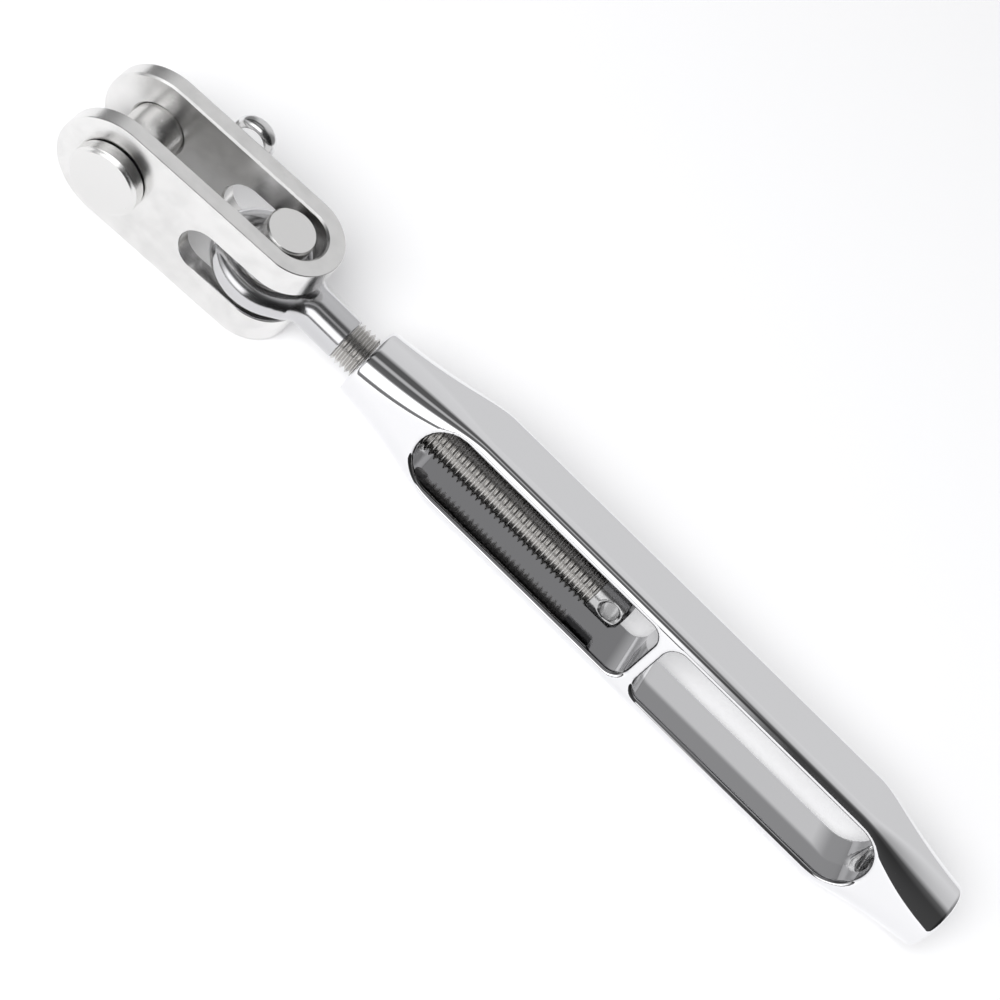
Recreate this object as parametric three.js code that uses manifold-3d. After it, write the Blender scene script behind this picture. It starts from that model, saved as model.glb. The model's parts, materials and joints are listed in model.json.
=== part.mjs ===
import * as THREE from 'three';
import { mergeVertices } from 'three/addons/utils/BufferGeometryUtils.js';
import Module from 'manifold-3d';

// Frame: +X runs along the body and out of its empty threaded end, +Z runs along the captive pin.
// The origin is the centre of that end's bore mouth. All lengths are in millimetres.

// body
const BODY_LENGTH = 130;
const BODY_HALF_WIDTH = 8.6;
const BODY_HALF_DEPTH = 6.9;
const BODY_CORNER = 2.1;
const CORNER_DELAY = 2.5;
const BODY_ROLL = -18 * Math.PI / 180;
const END_RADIUS = 6.5;
const END_ROUNDING = 0.8;
const UPPER_TAPER = 24.5;
const LOWER_TAPER = 22.5;
const WINDOW_HALF_WIDTH = 6.0;
const WINDOW_CORNER = 2.8;
const UPPER_WINDOW = [-114.5, -65.1];
const LOWER_WINDOW = [-63.0, -14.7];
const STUD_BORE = 4.03;
const EMPTY_BORE = 3.45;

// eye bolt, 5/16-24 thread
const EYE_X = -152.2;
const EYE_RING = 7.12;
const EYE_WIRE = 2.65;
const SHANK_RADIUS = 3.9;
const NECK_FILLET = 4.0;
const NECK_START = 6.2;
const NECK_SWELL = 5.6;
const THREAD_RADIUS = 3.969;
const THREAD_START = -134.5;
const THREAD_END = -77.2;
const STUD_TIP = -70.9;
const TIP_RADIUS = 3.75;
const LOCK_HOLE_X = -73.6;
const LOCK_HOLE = 1.6;
const LOCK_HOLE_TILT = 20.5 * Math.PI / 180;

// strap jaw, swung a little about the captive pin and resting high on the eye
const JAW_SWING = 3.5 * Math.PI / 180;
const JAW_LIFT = 0.5;
const PLATE = 3.175;
const HALF_GAP = 5.1;
const HALF_HEIGHT = 10.3;
const PIN_TO_EYE = 27.3;
const BEND_OFFSET = 0.8;
const SLOT_HALF_HEIGHT = 4.3;
const SLOT_START = -12.7;
const PIN_HOLE = 4.85;

// captive pin
const CAPTIVE_RADIUS = 4.365;
const CAPTIVE_HALF_LENGTH = 9.45;
const CAPTIVE_CHAMFER = 0.25;

// clevis pin
const PIN_RADIUS = 4.762;
const HEAD_RADIUS = 6.4;
const HEAD_HEIGHT = 2.6;
const HEAD_CHAMFER = 0.7;
const PIN_TAIL = 4.7;
const PIN_NOSE = 0.6;

// cotter pin: half-round wire folded on itself, pushed part way through the tail of the clevis pin
const COTTER_HOLE = 1.66;
const COTTER_OUT = 2.25;
const COTTER_ANGLE = 33 * Math.PI / 180;
const COTTER_WIRE = 1.5;
const COTTER_HALF_GAP = 0.08;
const COTTER_EYE = 2.45;
const COTTER_NECK = 2.0;
const COTTER_EYE_OUT = 15;
const COTTER_LEGS = [25.5, 23.5];
const COTTER_SPREAD = 9 * Math.PI / 180;

const wasm = await Module();
wasm.setup();

// A closed manifold from any geometry, with its seams merged.
function solid(geometry) {
  const g = geometry.index ? geometry.toNonIndexed() : geometry.clone();
  for (const name of Object.keys(g.attributes)) {
    if (name !== 'position') g.deleteAttribute(name);
  }
  const m = mergeVertices(g, 1e-5);
  const mesh = new wasm.Mesh({
    numProp: 3,
    vertProperties: new Float32Array(m.attributes.position.array),
    triVerts: new Uint32Array(m.index.array),
  });
  return new wasm.Manifold(mesh);
}

// A three.js geometry from a manifold.
function toGeometry(manifold) {
  const mesh = manifold.getMesh();
  const g = new THREE.BufferGeometry();
  g.setAttribute('position', new THREE.BufferAttribute(new Float32Array(mesh.vertProperties), 3));
  g.setIndex(new THREE.BufferAttribute(new Uint32Array(mesh.triVerts), 1));
  return g;
}

// A turned solid on the X axis from [x, radius] pairs that run from low x to high x.
function turned(profile, segments) {
  const points = profile.map(([x, r]) => new THREE.Vector2(r, x));
  const g = new THREE.LatheGeometry(points, segments);
  g.rotateZ(-Math.PI / 2);
  return g;
}

// A round bar along an axis between two stations.
function bar(radius, from, to, axis, segments = 64) {
  const g = new THREE.CylinderGeometry(radius, radius, to - from, segments);
  g.translate(0, (to + from) / 2, 0);
  if (axis === 'x') g.rotateZ(-Math.PI / 2);
  if (axis === 'z') g.rotateX(Math.PI / 2);
  return g;
}

// A closed skin through rings that all have the same number of points.
function loft(rings) {
  const n = rings[0].length;
  const positions = rings.flat(2);
  const index = [];
  for (let k = 0; k + 1 < rings.length; k += 1) {
    for (let i = 0; i < n; i += 1) {
      const a = k * n + i;
      const b = k * n + (i + 1) % n;
      index.push(a, b, a + n);
      index.push(b, b + n, a + n);
    }
  }
  for (let i = 1; i + 1 < n; i += 1) {
    const last = (rings.length - 1) * n;
    index.push(0, i + 1, i);
    index.push(last, last + i, last + i + 1);
  }
  const g = new THREE.BufferGeometry();
  g.setAttribute('position', new THREE.Float32BufferAttribute(positions, 3));
  g.setIndex(index);
  return g;
}

// The forged body: round at both ends, a rounded rectangle along the windows.
const SECTION_STEPS = 6;
function bodyRing(x, halfWidth, halfDepth, corner) {
  const ring = [];
  for (const [sy, sz, start] of [[1, 1, 0], [-1, 1, 1], [-1, -1, 2], [1, -1, 3]]) {
    for (let i = 0; i <= SECTION_STEPS; i += 1) {
      const a = (start + i / SECTION_STEPS) * Math.PI / 2;
      const y = sy * (halfDepth - corner) + corner * Math.cos(a);
      const z = sz * (halfWidth - corner) + corner * Math.sin(a);
      ring.push([x, y, z]);
    }
  }
  return ring;
}
// 0 at the round end and 1 at the full section, straight with an eased shoulder.
function taper(t) {
  const ease = 0.22;
  const rise = (s) => Math.hypot(1, ease) - Math.hypot(1 - s, ease);
  return rise(Math.min(Math.max(t, 0), 1)) / rise(1);
}
function bodySection(x) {
  const upper = taper((x + BODY_LENGTH) / UPPER_TAPER);
  const lower = taper(-x / LOWER_TAPER);
  const full = Math.min(upper, lower);
  const short = Math.max(END_ROUNDING - Math.min(x + BODY_LENGTH, -x), 0);
  const end = END_RADIUS - END_ROUNDING + Math.sqrt(END_ROUNDING ** 2 - short ** 2);
  const halfWidth = end + (BODY_HALF_WIDTH - END_RADIUS) * full;
  const halfDepth = end + (BODY_HALF_DEPTH - END_RADIUS) * full;
  const corner = Math.min(end + (BODY_CORNER - END_RADIUS) * full ** CORNER_DELAY, halfDepth * 0.998);
  return bodyRing(x, halfWidth, halfDepth, corner);
}
const stations = [];
for (let i = 0; i <= 3; i += 1) stations.push(-BODY_LENGTH + END_ROUNDING * i / 3);
for (let i = 1; i <= 10; i += 1) {
  stations.push(-BODY_LENGTH + END_ROUNDING + (UPPER_TAPER - END_ROUNDING) * i / 10);
}
for (let i = 10; i >= 1; i -= 1) stations.push(-END_ROUNDING - (LOWER_TAPER - END_ROUNDING) * i / 10);
for (let i = 3; i >= 0; i -= 1) stations.push(-END_ROUNDING * i / 3);
const blank = solid(loft(stations.map(bodySection)));

// A window through the body: one end a full round, the end at the middle web with small corners.
function windowCut([from, to], roundEnd) {
  const h = WINDOW_HALF_WIDTH;
  const c = WINDOW_CORNER;
  const inner = roundEnd === 'low' ? to : from;
  const outer = roundEnd === 'low' ? from : to;
  const dir = Math.sign(inner - outer);
  const points = [];
  const turn = (cx, cy, r, a0, a1, steps) => {
    for (let i = 0; i <= steps; i += 1) {
      const a = a0 + (a1 - a0) * i / steps;
      points.push(new THREE.Vector2(cx + dir * r * Math.cos(a), cy + r * Math.sin(a)));
    }
  };
  turn(inner - dir * c, h - c, c, 0, Math.PI / 2, 6);
  turn(outer + dir * h, 0, h, Math.PI / 2, 3 * Math.PI / 2, 24);
  turn(inner - dir * c, -(h - c), c, 3 * Math.PI / 2, 2 * Math.PI, 6);
  const g = new THREE.ExtrudeGeometry(new THREE.Shape(points), { depth: 30, bevelEnabled: false });
  g.translate(0, 0, -15);
  g.rotateX(Math.PI / 2);
  return solid(g);
}
const bodySolid = blank
  .subtract(windowCut(UPPER_WINDOW, 'low'))
  .subtract(windowCut(LOWER_WINDOW, 'high'))
  .subtract(solid(bar(STUD_BORE, -BODY_LENGTH - 5, UPPER_WINDOW[0] + 8, 'x')))
  .subtract(solid(bar(EMPTY_BORE, LOWER_WINDOW[1] - 8, 5, 'x')));
const bodyGeometry = toGeometry(bodySolid);
bodyGeometry.rotateX(BODY_ROLL);

// The eye bolt: a forged ring, a neck with hollow shoulders, a plain shank, the thread and a tip.
const ring = new THREE.TorusGeometry(EYE_RING, EYE_WIRE, 16, 56);
ring.translate(EYE_X, 0, 0);
const eyeOuter = EYE_RING + EYE_WIRE;
const filletX = Math.sqrt((eyeOuter + NECK_FILLET) ** 2 - (SHANK_RADIUS + NECK_FILLET) ** 2);
const touchX = filletX * eyeOuter / (eyeOuter + NECK_FILLET);
function neckRing(x) {
  const along = Math.min(Math.max(x, touchX), filletX);
  const halfWidth = SHANK_RADIUS + NECK_FILLET - Math.sqrt(NECK_FILLET ** 2 - (filletX - along) ** 2);
  const t = Math.min(Math.max((x - NECK_SWELL) / (filletX - NECK_SWELL), 0), 1);
  const halfHeight = EYE_WIRE - 0.15 + (SHANK_RADIUS - EYE_WIRE + 0.15) * t * t * (3 - 2 * t);
  const points = [];
  for (let i = 0; i < 32; i += 1) {
    const a = i / 32 * 2 * Math.PI;
    points.push([EYE_X + x, halfWidth * Math.cos(a), halfHeight * Math.sin(a)]);
  }
  return points;
}
const neckRings = [];
for (let i = 0; i <= 10; i += 1) neckRings.push(neckRing(NECK_START + (filletX - NECK_START) * i / 10));
neckRings.push(neckRing(filletX + 1.5));
const neck = loft(neckRings);
const stud = turned([
  [EYE_X + filletX + 0.5, 0],
  [EYE_X + filletX + 0.5, SHANK_RADIUS],
  [THREAD_START, SHANK_RADIUS],
  [THREAD_START + 0.3, THREAD_RADIUS],
  [THREAD_END, THREAD_RADIUS],
  [THREAD_END + 0.4, TIP_RADIUS],
  [STUD_TIP - 0.8, TIP_RADIUS],
  [STUD_TIP, TIP_RADIUS - 0.8],
  [STUD_TIP, 0],
], 40);
const lockHole = bar(LOCK_HOLE, -6, 6, 'y', 32);
const countersinks = [1, -1].map((side) => {
  const g = new THREE.CylinderGeometry(side > 0 ? 3.4 : 1.2, side > 0 ? 1.2 : 3.4, 1.8, 32);
  g.translate(0, side * 3.75, 0);
  return g;
});
for (const g of [lockHole, ...countersinks]) {
  g.rotateX(-LOCK_HOLE_TILT);
  g.translate(LOCK_HOLE_X, 0, 0);
}
const eyeHole = bar(EYE_RING - EYE_WIRE, -5, 5, 'z', 56);
eyeHole.translate(EYE_X, 0, 0);
const boltSolid = solid(ring).add(solid(neck)).subtract(solid(eyeHole)).add(solid(stud))
  .subtract(solid(lockHole)).subtract(solid(countersinks[0])).subtract(solid(countersinks[1]));

// The jaw is drawn with the captive pin's axis at x = 0, then swung and lifted into place.
function placeOnJaw(geometry) {
  geometry.rotateZ(JAW_SWING);
  geometry.translate(EYE_X, 0, JAW_LIFT);
  return geometry;
}

// The strap: flat bar bent into a U, tips rounded about the clevis pin, a slot round the bend.
const outerBend = HALF_GAP + PLATE;
const strapShape = new THREE.Shape();
const bendPoint = (r, i) => {
  const a = -Math.PI / 2 + Math.PI * i / 40;
  return [BEND_OFFSET + r * Math.cos(a), r * Math.sin(a)];
};
strapShape.moveTo(-PIN_TO_EYE - HALF_HEIGHT - 2, -outerBend);
for (let i = 0; i <= 40; i += 1) strapShape.lineTo(...bendPoint(outerBend, i));
strapShape.lineTo(-PIN_TO_EYE - HALF_HEIGHT - 2, outerBend);
strapShape.lineTo(-PIN_TO_EYE - HALF_HEIGHT - 2, HALF_GAP);
for (let i = 40; i >= 0; i -= 1) strapShape.lineTo(...bendPoint(HALF_GAP, i));
strapShape.lineTo(-PIN_TO_EYE - HALF_HEIGHT - 2, -HALF_GAP);
const strapBar = new THREE.ExtrudeGeometry(strapShape, { depth: 2 * HALF_HEIGHT + 4, bevelEnabled: false });
strapBar.translate(0, 0, -HALF_HEIGHT - 2);

// A side outline with one or two round ends, cut straight through along Y.
function sideCut(from, to, half, steps) {
  const shape = new THREE.Shape();
  shape.moveTo(to, -half);
  shape.lineTo(to, half);
  for (let i = 0; i <= steps; i += 1) {
    const a = Math.PI / 2 + Math.PI * i / steps;
    shape.lineTo(from + half + half * Math.cos(a), half * Math.sin(a));
  }
  const g = new THREE.ExtrudeGeometry(shape, { depth: 40, bevelEnabled: false });
  g.translate(0, 0, -20);
  g.rotateX(Math.PI / 2);
  return g;
}
const pinHole = bar(PIN_HOLE, -20, 20, 'y', 72);
pinHole.translate(-PIN_TO_EYE, 0, 0);
const strapSolid = solid(strapBar)
  .intersect(solid(sideCut(-PIN_TO_EYE - HALF_HEIGHT, 20, HALF_HEIGHT, 48)))
  .subtract(solid(sideCut(SLOT_START, 20, SLOT_HALF_HEIGHT, 24)))
  .subtract(solid(pinHole));
const strapGeometry = placeOnJaw(toGeometry(strapSolid));

// The captive pin lies inside the bend and through the eye.
const captiveGeometry = turned([
  [-CAPTIVE_HALF_LENGTH, 0],
  [-CAPTIVE_HALF_LENGTH, CAPTIVE_RADIUS - CAPTIVE_CHAMFER],
  [-CAPTIVE_HALF_LENGTH + CAPTIVE_CHAMFER, CAPTIVE_RADIUS],
  [CAPTIVE_HALF_LENGTH - CAPTIVE_CHAMFER, CAPTIVE_RADIUS],
  [CAPTIVE_HALF_LENGTH, CAPTIVE_RADIUS - CAPTIVE_CHAMFER],
  [CAPTIVE_HALF_LENGTH, 0],
], 64);
captiveGeometry.rotateY(-Math.PI / 2);
placeOnJaw(captiveGeometry);

// The clevis pin: a flat chamfered head in front, a drilled tail behind the back plate.
const headUnder = -outerBend - 0.3;
const tailEnd = outerBend + PIN_TAIL;
const pinBlank = turned([
  [headUnder - HEAD_HEIGHT, 0],
  [headUnder - HEAD_HEIGHT, HEAD_RADIUS - HEAD_CHAMFER],
  [headUnder - HEAD_HEIGHT + HEAD_CHAMFER, HEAD_RADIUS],
  [headUnder, HEAD_RADIUS],
  [headUnder, PIN_RADIUS],
  [tailEnd - PIN_NOSE, PIN_RADIUS],
  [tailEnd, PIN_RADIUS - PIN_NOSE],
  [tailEnd, 0],
], 64);
pinBlank.rotateZ(Math.PI / 2);
const cotterY = outerBend + COTTER_OUT;
const cotterHole = bar(COTTER_HOLE, -8, 8, 'x', 32);
cotterHole.rotateY(-COTTER_ANGLE);
cotterHole.translate(0, cotterY, 0);
const pinGeometry = toGeometry(solid(pinBlank).subtract(solid(cotterHole)));
pinGeometry.translate(-PIN_TO_EYE, 0, 0);
placeOnJaw(pinGeometry);

// The cotter pin's flat side as a line [along, across, direction]: leg, neck, eye, neck, leg.
const cotterFlat = [];
const neckBack = Math.sqrt((COTTER_EYE + COTTER_NECK) ** 2 - (COTTER_HALF_GAP + COTTER_NECK) ** 2);
const neckTurn = Math.atan2(neckBack, COTTER_HALF_GAP + COTTER_NECK);
const spreadFrom = COTTER_EYE_OUT + PIN_RADIUS + 0.8;
function cotterSide(side, leg) {
  const points = [];
  const run = leg - spreadFrom;
  points.push([-leg, side * (COTTER_HALF_GAP + run * Math.tan(COTTER_SPREAD)), -side * COTTER_SPREAD]);
  points.push([-spreadFrom - 0.6, side * (COTTER_HALF_GAP + 0.6 * Math.tan(COTTER_SPREAD)), -side * COTTER_SPREAD]);
  points.push([-spreadFrom + 0.6, side * COTTER_HALF_GAP, 0]);
  for (let i = 0; i <= 8; i += 1) {
    const a = neckTurn * i / 8;
    points.push([
      -neckBack + COTTER_NECK * Math.sin(a),
      side * (COTTER_HALF_GAP + COTTER_NECK * (1 - Math.cos(a))),
      side * a,
    ]);
  }
  return points;
}
cotterFlat.push(...cotterSide(-1, COTTER_LEGS[0]));
for (let i = 1; i < 28; i += 1) {
  const a = -neckTurn + (2 * neckTurn + Math.PI) * i / 28;
  cotterFlat.push([COTTER_EYE * Math.sin(a), -COTTER_EYE * Math.cos(a), a]);
}
for (const [along, across, direction] of cotterSide(1, COTTER_LEGS[1]).reverse()) {
  cotterFlat.push([along, across, direction + Math.PI]);
}
const cotterRings = cotterFlat.map(([along, across, direction]) => {
  const points = [];
  for (let i = 0; i <= 10; i += 1) {
    const a = Math.PI * i / 10;
    const out = COTTER_WIRE * Math.sin(a);
    points.push([
      COTTER_EYE_OUT + along + out * Math.sin(direction),
      -COTTER_WIRE * Math.cos(a),
      across - out * Math.cos(direction),
    ]);
  }
  return points;
});
const cotterGeometry = loft(cotterRings);
cotterGeometry.rotateY(-COTTER_ANGLE);
cotterGeometry.translate(-PIN_TO_EYE, cotterY, 0);
placeOnJaw(cotterGeometry);

function piece(name, geometry, color, roughness) {
  const material = new THREE.MeshStandardMaterial({ color, roughness, metalness: 1 });
  const mesh = new THREE.Mesh(geometry, material);
  mesh.name = name;
  return mesh;
}

const turnbuckle = new THREE.Group();
turnbuckle.name = 'rigging_turnbuckle';
turnbuckle.add(piece('turnbuckle_body', bodyGeometry, 0xd4d5d6, 0.08));
turnbuckle.add(piece('eye_bolt', toGeometry(boltSolid), 0xc4c5c7, 0.15));
turnbuckle.add(piece('strap_jaw', strapGeometry, 0xc9c8c5, 0.35));
turnbuckle.add(piece('captive_pin', captiveGeometry, 0xc2c1be, 0.35));
turnbuckle.add(piece('clevis_pin', pinGeometry, 0xc6c5c2, 0.3));
turnbuckle.add(piece('cotter_pin', cotterGeometry, 0xb5b5b4, 0.3));
export default turnbuckle;
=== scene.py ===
import json

import bpy
import numpy as np
from mathutils import Matrix, Vector
from mathutils.geometry import delaunay_2d_cdt


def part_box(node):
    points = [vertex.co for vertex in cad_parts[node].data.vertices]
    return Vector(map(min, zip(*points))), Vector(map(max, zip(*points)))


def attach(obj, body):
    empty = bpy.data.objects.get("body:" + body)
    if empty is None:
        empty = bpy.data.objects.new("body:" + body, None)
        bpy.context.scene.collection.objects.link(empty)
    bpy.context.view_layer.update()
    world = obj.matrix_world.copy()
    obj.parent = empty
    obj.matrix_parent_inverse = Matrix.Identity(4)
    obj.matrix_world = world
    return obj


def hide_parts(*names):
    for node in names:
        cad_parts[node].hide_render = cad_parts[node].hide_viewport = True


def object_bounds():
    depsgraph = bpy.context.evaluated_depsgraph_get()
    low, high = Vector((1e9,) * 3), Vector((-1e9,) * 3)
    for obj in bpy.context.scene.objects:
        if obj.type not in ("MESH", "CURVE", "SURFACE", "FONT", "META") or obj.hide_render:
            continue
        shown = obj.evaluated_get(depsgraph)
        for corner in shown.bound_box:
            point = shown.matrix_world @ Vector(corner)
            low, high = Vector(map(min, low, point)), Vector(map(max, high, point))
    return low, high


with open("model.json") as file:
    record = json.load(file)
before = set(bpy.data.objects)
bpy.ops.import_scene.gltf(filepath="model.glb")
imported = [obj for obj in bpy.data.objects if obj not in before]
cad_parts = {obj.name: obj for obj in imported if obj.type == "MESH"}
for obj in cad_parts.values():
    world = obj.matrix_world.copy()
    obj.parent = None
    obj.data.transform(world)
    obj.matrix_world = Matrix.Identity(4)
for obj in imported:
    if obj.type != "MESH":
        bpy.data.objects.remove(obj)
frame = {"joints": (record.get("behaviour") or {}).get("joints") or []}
cad_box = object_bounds()


# ---- Turnbuckle body ----
# A stainless forging, round at both ends and a rounded bar along its two windows, mirror-polished outside.
# The windows are cut straight through with well-eased rims, and a thin web is left between them.
MM = 0.001
BODY_LENGTH = 130.0
BODY_HALF_WIDTH = 8.6
BODY_HALF_DEPTH = 6.9
BODY_CORNER = 2.1
CORNER_DELAY = 2.5
BODY_ROLL = np.radians(-18.0)
END_RADIUS = 6.5
END_EASE = 0.8
UPPER_TAPER = 24.5
LOWER_TAPER = 22.5
WINDOW_HALF_WIDTH = 6.0
WINDOW_CORNER = 2.8
WINDOW_RIM = 0.85
UPPER_WINDOW = (-114.5, -65.1)
LOWER_WINDOW = (-63.0, -14.7)
STUD_BORE = 4.25
EMPTY_BORE = 4.15
BORE_EASE = 0.3
BORE_OVERRUN = 8.0
BODY_STEP = 0.42
# Painted shade inside the windows: the walls' colour is darkened towards this tone, in these strengths, to
# stand in for their shadow and dark reflections.
WINDOW_SHADE_TONE = (0.16, 0.16, 0.165)
UPPER_SHADE = 0.88
UPPER_SHADE_LOSS = 0.4
LOWER_SHADE = 0.75
LOWER_SHADE_LOSS = 0.6
BORE_SHADE = 0.7


def rounded_cut(a, b, radius):
    """Distance to the space inside both a and b, its edge rounded by a circle of that radius."""
    corner = np.hypot(np.maximum(a + radius, 0), np.maximum(b + radius, 0))
    return np.minimum(np.maximum(a, b), -radius) + corner


def smooth_join(a, b, radius):
    """Distance to the space inside a or b, with a fillet of about that size in the inner corner."""
    h = np.clip(0.5 + 0.5 * (b - a) / radius, 0, 1)
    return b + (a - b) * h - radius * h * (1 - h)


def rounded_bar(u, v, half_u, half_v, corner):
    """Distance in a plane to a rectangle of those half sizes with round corners."""
    qu = np.abs(u) - half_u + corner
    qv = np.abs(v) - half_v + corner
    return np.minimum(np.maximum(qu, qv), 0) + np.hypot(np.maximum(qu, 0), np.maximum(qv, 0)) - corner


def window_outline(x, z, span, outer_end):
    """Distance in plan to a window: a half circle at its outer end and two small corners at the web."""
    middle = (span[0] + span[1]) / 2
    toward_outer = (x - middle) * outer_end > 0
    corner = np.where(toward_outer, WINDOW_HALF_WIDTH, WINDOW_CORNER)
    return rounded_bar(x - middle, z, (span[1] - span[0]) / 2, WINDOW_HALF_WIDTH, corner)


def shoulder(t):
    """0 at the round end and 1 at the full bar: a straight rise that eases into the bar."""
    ease = 0.22
    t = np.clip(t, 0, 1)
    return (np.hypot(1, ease) - np.hypot(1 - t, ease)) / (np.hypot(1, ease) - ease)


def on_body(p):
    """Coordinates along the body, through its windows and across them, which are rolled from the jaw's."""
    c, s = np.cos(BODY_ROLL), np.sin(BODY_ROLL)
    return p[..., 0], p[..., 1] * c + p[..., 2] * s, -p[..., 1] * s + p[..., 2] * c


def body_distance(p):
    """Distance in mm from the forged body: a bar whose section goes from round to a rectangle with round
    corners, less the windows and the bores."""
    x, y, z = on_body(p)
    full = np.minimum(shoulder((x + BODY_LENGTH) / UPPER_TAPER), shoulder(-x / LOWER_TAPER))
    half_width = END_RADIUS + (BODY_HALF_WIDTH - END_RADIUS) * full
    half_depth = END_RADIUS + (BODY_HALF_DEPTH - END_RADIUS) * full
    corner = END_RADIUS + (BODY_CORNER - END_RADIUS) * full ** CORNER_DELAY
    skin = rounded_bar(y, z, half_depth, half_width, corner)
    ends = np.abs(x + BODY_LENGTH / 2) - BODY_LENGTH / 2
    shape = rounded_cut(skin, ends, END_EASE)
    shape = rounded_cut(shape, -window_outline(x, z, UPPER_WINDOW, -1), WINDOW_RIM)
    shape = rounded_cut(shape, -window_outline(x, z, LOWER_WINDOW, 1), WINDOW_RIM)
    across = np.hypot(y, z)
    stud_bore = np.maximum(across - STUD_BORE, x - UPPER_WINDOW[0] - BORE_OVERRUN)
    empty_bore = np.maximum(across - EMPTY_BORE, LOWER_WINDOW[1] - BORE_OVERRUN - x)
    shape = rounded_cut(shape, -stud_bore, BORE_EASE)
    return rounded_cut(shape, -empty_bore, BORE_EASE)


def window_painted_shade(p):
    """How much painted shade a point of the body gets, from 0 outside towards 1: it darkens the window walls
    to stand in for their shadow and dark reflections. The upper window's walls are darkest, less so by the
    web, and the lower window's are dark near the front and round its bore."""
    x, y, z = on_body(p)
    upper = np.clip(1 - (window_outline(x, z, UPPER_WINDOW, -1) - 0.05) / 0.3, 0, 1)
    lower = np.clip(1 - (window_outline(x, z, LOWER_WINDOW, 1) - 0.05) / 0.3, 0, 1)
    toward_back = np.clip((y + 1.6) / 1.2, 0, 1)
    toward_bore = np.clip((x - LOWER_WINDOW[1] + 9) / 4, 0, 1)
    toward_web = np.clip((x - UPPER_WINDOW[1] + 3) / 2, 0, 1)
    front_or_bore = np.maximum(LOWER_SHADE - LOWER_SHADE_LOSS * toward_back, BORE_SHADE * toward_bore)
    return np.maximum(upper * (UPPER_SHADE - UPPER_SHADE_LOSS * toward_web), lower * front_or_bore)


def slope(distance, p):
    """Gradient of a distance by central differences."""
    h = 1e-3
    parts = [distance(p + h * e) - distance(p - h * e) for e in np.eye(3)]
    return np.stack(parts, axis=-1) / (2 * h)


def skin_of(distance, low, high, step):
    """Faces over the surface where a distance is zero: one point per crossed cell of a grid, moved on to the
    surface along the gradient, and one quad per crossed grid edge. Points that meet become one.
    Returns points, faces and unit normals."""
    axes = [np.arange(a, b + step, step) for a, b in zip(low, high)]
    grid = np.stack(np.meshgrid(*axes, indexing="ij"), axis=-1)
    value = distance(grid)
    inside = value < 0
    nx, ny, nz = np.array(inside.shape) - 1
    count = sum(
        inside[i:i + nx, j:j + ny, k:k + nz].astype(int)
        for i in (0, 1) for j in (0, 1) for k in (0, 1)
    )
    crossed = (count > 0) & (count < 8)
    number = np.full(crossed.shape, -1)
    number[crossed] = np.arange(crossed.sum())
    cells = np.argwhere(crossed)
    points = np.asarray(low) + (cells + 0.5) * step
    for _ in range(7):
        g = slope(distance, points)
        move = distance(points)[:, None] * g / np.maximum((g * g).sum(1), 0.25)[:, None]
        points -= np.clip(move, -step, step)
    quads = []
    for axis in range(3):
        u, v = (axis + 1) % 3, (axis + 2) % 3
        first = np.take(inside, range(inside.shape[axis] - 1), axis)
        second = np.take(inside, range(1, inside.shape[axis]), axis)
        for outward, edges in ((True, first & ~second), (False, ~first & second)):
            at = np.argwhere(edges)
            within = (at[:, u] > 0) & (at[:, u] < crossed.shape[u])
            at = at[within & (at[:, v] > 0) & (at[:, v] < crossed.shape[v])]
            back_u, back_v = np.eye(3, dtype=int)[u], np.eye(3, dtype=int)[v]
            ring = [at - back_u - back_v, at - back_v, at, at - back_u]
            quad = np.stack([number[tuple(c.T)] for c in ring], axis=1)
            quads.append(quad if outward else quad[:, ::-1])
    _, kept, same = np.unique(np.round(points, 3), axis=0, return_index=True, return_inverse=True)
    points, quads = points[kept], same.ravel()[np.concatenate(quads)]
    folded = (quads[:, 0] == quads[:, 2]) | (quads[:, 1] == quads[:, 3])
    faces = [list(dict.fromkeys(q)) for q in quads[~folded].tolist()]
    normals = slope(distance, points)
    return points, [f for f in faces if len(f) > 2], normals / np.linalg.norm(normals, axis=1)[:, None]


def new_piece(name, points, faces, normals=None, sharp=None):
    """A mesh object from points in mm, shaded by the given normals or with breaks at edges over an angle."""
    mesh = bpy.data.meshes.new(name)
    faces = faces.tolist() if isinstance(faces, np.ndarray) else faces
    mesh.from_pydata((np.asarray(points) * MM).tolist(), [], faces)
    mesh.shade_smooth()
    if normals is not None:
        mesh.normals_split_custom_set_from_vertices(normals.tolist())
    if sharp is not None:
        mesh.set_sharp_from_angle(angle=np.radians(sharp))
    piece = bpy.data.objects.new(name, mesh)
    bpy.context.scene.collection.objects.link(piece)
    return piece


def polished_steel(name, tone, roughness, smear, ripple):
    """Polished stainless: a mirror with faint smears in its roughness and a very slight ripple."""
    material = bpy.data.materials.new(name)
    material.use_nodes = True
    nodes, links = material.node_tree.nodes, material.node_tree.links
    shader = nodes["Principled BSDF"]
    shader.inputs["Base Color"].default_value = (*tone, 1)
    shader.inputs["Metallic"].default_value = 1
    place = nodes.new("ShaderNodeTexCoord")
    smears = nodes.new("ShaderNodeTexNoise")
    smears.inputs["Scale"].default_value = 90
    smears.inputs["Detail"].default_value = 6
    spread = nodes.new("ShaderNodeMapRange")
    spread.inputs["From Min"].default_value = 0.35
    spread.inputs["From Max"].default_value = 0.7
    spread.inputs["To Min"].default_value = roughness
    spread.inputs["To Max"].default_value = roughness + smear
    waves = nodes.new("ShaderNodeTexNoise")
    waves.inputs["Scale"].default_value = 160
    waves.inputs["Detail"].default_value = 2
    bump = nodes.new("ShaderNodeBump")
    bump.inputs["Strength"].default_value = ripple
    bump.inputs["Distance"].default_value = 0.0001
    links.new(place.outputs["Object"], smears.inputs["Vector"])
    links.new(place.outputs["Object"], waves.inputs["Vector"])
    links.new(smears.outputs["Fac"], spread.inputs["Value"])
    links.new(spread.outputs["Result"], shader.inputs["Roughness"])
    links.new(waves.outputs["Fac"], bump.inputs["Height"])
    links.new(bump.outputs["Normal"], shader.inputs["Normal"])
    return material


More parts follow.
